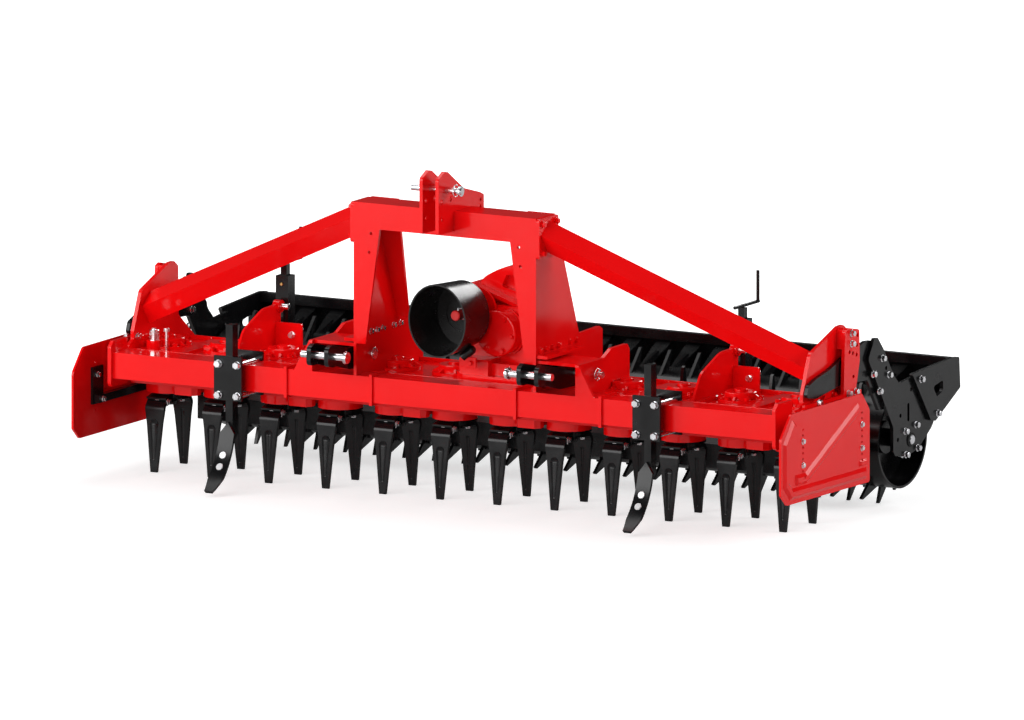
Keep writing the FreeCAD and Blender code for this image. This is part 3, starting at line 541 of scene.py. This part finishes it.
bpy.ops.object.mode_set(mode="OBJECT")
bpy.ops.object.shade_smooth_by_angle(angle=math.radians(35))
cap_parts = [cap]
RIBS = 8
for step in range(RIBS):
    bpy.ops.mesh.primitive_cube_add(size=1, location=(0, 0, 0))
    rib = bpy.context.object
    rib.scale = (0.030, 0.008, 0.022)
    bpy.ops.object.transform_apply(location=False, rotation=False, scale=True)
    chosen(rib, lambda corner: corner.co.x > 0 and corner.co.z > 0, "VERT")
    bpy.ops.transform.translate(value=(0, 0, -0.017))
    bpy.ops.object.mode_set(mode="OBJECT")
    turn = math.tau * (step + 0.5) / RIBS + 0.12
    rib.matrix_world = Matrix.Rotation(turn, 4, "Z") @ Matrix.Translation((0.070, 0, 0.019))
    cap_parts.append(rib)
bpy.context.view_layer.update()
cap = joined(cap_parts, "cap_pattern", red_enamel)
painted(cap, [(x, 0, LID_TOP) for x in rotor_x if abs(x) > 0.7], UP, "bearing_caps")

# Where a plate of the headstock or the gearbox's foot stands beside a rotor,
# its cap is cast with a flat and stops at the plate. Each row gives the
# rotor's place and the two flats.
MIDDLE_CAPS = ((-0.625, -0.750, -0.591), (-0.375, -0.3860, -0.250), (-0.125, -0.250, -0.062),
               (0.375, 0.302, 0.3860), (0.625, 0.591, 0.750))
for number, (x, low, high) in enumerate(MIDDLE_CAPS):
    flat_cap = painted(cap, [(x, 0, LID_TOP)], UP, "middle_cap_%d" % (number + 1))
    chosen(flat_cap, lambda face: True)
    bpy.ops.mesh.bisect(plane_co=(low, 0, 0), plane_no=LEFT, clear_inner=True, use_fill=True)
    bpy.ops.mesh.select_all(action="SELECT")
    bpy.ops.mesh.bisect(plane_co=(high, 0, 0), plane_no=LEFT, clear_outer=True, use_fill=True)
    bpy.ops.object.mode_set(mode="OBJECT")

# ------------------------------------------------------------------ lid flange
# The lid's front and rear edges are turned up into a low stiffening flange.
# It is folded from the lid's own sheet and sprayed with it.


def block(middle, size):
    """A box of the given size round a point, to be bevelled."""
    bpy.ops.mesh.primitive_cube_add(size=1, location=at(*middle))
    box = bpy.context.object
    box.scale = size
    bpy.ops.object.transform_apply(location=False, rotation=False, scale=True)
    return box


for side, label in ((-1, "front"), (1, "rear")):
    rail = block((0, side * 0.1895, 0.4775), (2.90, 0.006, 0.015))
    chosen(rail, lambda face: face.normal.z > 0.9)
    bpy.ops.mesh.bevel(offset=0.0015, segments=2)
    bpy.ops.object.mode_set(mode="OBJECT")
    rail = joined([rail], "lid_flange_" + label, red_enamel)
    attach(rail, "frame")

# ------------------------------------------------------------------ shaft hook
# A rubber-covered hook holds up the drive shaft when it is taken off the
# tractor. It stands under the guard, on a stay bolted to the gearbox's foot.
HOOK_FOOT = at(0.034, -0.215, 0.578)
HOOK_TIP = at(0.072, -0.215, 0.609)
run = HOOK_TIP - HOOK_FOOT
bpy.ops.mesh.primitive_cylinder_add(vertices=20, radius=0.018, depth=run.length, location=(0, 0, 0))
hook = bpy.context.object
chosen(hook, lambda face: face.normal.z > 0.9)
for rise, narrow in ((0.006, 0.86), (0.005, 0.70), (0.002, 0.45)):
    bpy.ops.mesh.extrude_region_move(TRANSFORM_OT_translate={"value": (0, 0, rise)})
    bpy.ops.transform.resize(value=(narrow, narrow, 1))
bpy.ops.object.mode_set(mode="OBJECT")
bpy.ops.object.shade_smooth_by_angle(angle=math.radians(40))
hook.matrix_world = (Matrix.Translation((HOOK_FOOT + HOOK_TIP) / 2)
                     @ Vector(UP).rotation_difference(run).to_matrix().to_4x4())
bpy.context.view_layer.update()
hook = joined([hook], "shaft_hook", guard_plastic)
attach(hook, "frame")
stay_parts = []
for middle, size in (((0.058, -0.217, 0.560), (0.068, 0.010, 0.040)),
                     ((0.044, -0.181, 0.552), (0.030, 0.062, 0.012))):
    plate = block(middle, size)
    chosen(plate, lambda face: True)
    bpy.ops.mesh.bevel(offset=0.0015, segments=2)
    bpy.ops.object.mode_set(mode="OBJECT")
    stay_parts.append(plate)
stay = joined(stay_parts, "shaft_hook_stay", red_enamel)
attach(stay, "frame")
painted(small_bolt, [(0.0706, -0.222, 0.558)], FORWARD, "shaft_hook_bolt")

# ------------------------------------------------------------------ axle ends
# The roller's stub axles end in plated discs. A rubber seal round each one
# keeps soil out of the bearing behind the side plate.
AXLE_Y, AXLE_Z, AXLE_END = 0.639, 0.2571, 1.5105
rubber = paint("rubber", (0.004, 0.004, 0.004), (0.0025, 0.0025, 0.0025), 0.6, 0.08, 0.2)
seal = turned_rim(0.0285, 0.004, 0.002, 32, 0.001)
chosen(seal, lambda face: abs(face.normal.z) > 0.9)
bpy.ops.mesh.inset(thickness=0.008)
bpy.ops.mesh.bridge_edge_loops()
bpy.ops.object.mode_set(mode="OBJECT")
seal = joined([seal], "seal_pattern", rubber)
disc = joined([turned_rim(0.0168, 0.003, 0.0015, 32, 0.001)], "disc_pattern", zinc_plate)
for side, label in SIDES:
    outwards = (side, 0, 0)
    spread(seal, [(side * SIDE_OUT, AXLE_Y, AXLE_Z)], outwards, "axle_seal_" + label,
           rubber, "roller_frame", "black_plastic")
    plated(disc, [(side * AXLE_END, AXLE_Y, AXLE_Z)], outwards, "axle_disc_" + label, "roller")

# ------------------------------------------------------------------ breather
# A thin breather pipe with a plated cap stands beside the oil filler, and
# plated and red bolts hold each end web to the trough.
bpy.ops.mesh.primitive_cylinder_add(vertices=16, radius=0.006, depth=0.070, location=(0, 0, 0.035))
pipe = bpy.context.object
chosen(pipe, lambda face: face.normal.z > 0.9)
bpy.ops.mesh.extrude_region_move(TRANSFORM_OT_translate={"value": (0, 0, 0.002)})
bpy.ops.transform.resize(value=(1.9, 1.9, 1))
bpy.ops.mesh.extrude_region_move(TRANSFORM_OT_translate={"value": (0, 0, 0.012)})
bpy.ops.mesh.bevel(offset=0.002, segments=2)
bpy.ops.object.mode_set(mode="OBJECT")
pipe = joined([pipe], "pipe_pattern", zinc_plate)
plated(pipe, [(-1.337, -0.085, LID_TOP)], UP, "breather")
WEB_IN, WEB_OUT = 1.4555, 1.4705
plated(big_bolt, [(-WEB_IN, -0.104, 0.516)], LEFT, "web_bolt_right")
plated(big_bolt, [(WEB_IN, -0.104, 0.516)], (-1, 0, 0), "web_bolt_left")
painted(red_bolt, both([(WEB_OUT, y, 0.505) for y in (-0.06, 0.02, 0.10)]), LEFT, "web_bolts_outer")

# The patterns have been copied to all their places and aren't pieces themselves.
for pattern in (big_bolt, small_bolt, low_bolt, clamp_bolt, button, red_bolt, stub_cap, stud,
                filler, lynch_pin, sector_pin, screw, cap, seal, disc, pipe):
    bpy.data.objects.remove(pattern, do_unlink=True)
